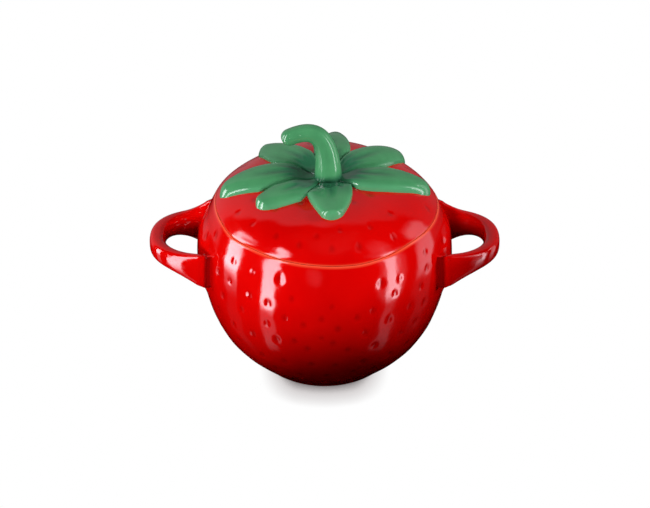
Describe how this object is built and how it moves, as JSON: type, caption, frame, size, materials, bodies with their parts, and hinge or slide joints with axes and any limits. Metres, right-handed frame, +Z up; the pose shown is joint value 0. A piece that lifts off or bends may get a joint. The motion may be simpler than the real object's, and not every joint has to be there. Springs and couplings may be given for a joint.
{
  "type": "mini cocotte",
  "caption": "Small lidded stoneware pot shaped like a strawberry, with a loop handle on each side and a leaf calyx and curved stem as the lid's knob.",
  "frame": {"origin": "centre of the foot ring on the table, on the pot's axis", "axes": "+Z up along the pot's axis, +X through the right handle, front towards -Y"},
  "size_m": [0.15, 0.1066, 0.1142],
  "materials": {
    "red_glaze": "gloss",
    "green_glaze": "gloss"
  },
  "bodies": {
    "pot": {"pot_bowl": "red_glaze", "handle_left": "red_glaze", "handle_right": "red_glaze"},
    "lid": {"lid_dome": "red_glaze", "stem": "green_glaze", "leaf_right": "green_glaze", "leaf_back_right": "green_glaze", "leaf_back": "green_glaze", "leaf_back_left": "green_glaze", "leaf_left": "green_glaze", "leaf_front_left": "green_glaze", "leaf_front": "green_glaze"}
  },
  "joints": [
    {"name": "lid_lift", "type": "slide", "parent": "pot", "child": "lid", "axis": [0, 0, 1], "range_m": [0, 0.1]}
  ]
}
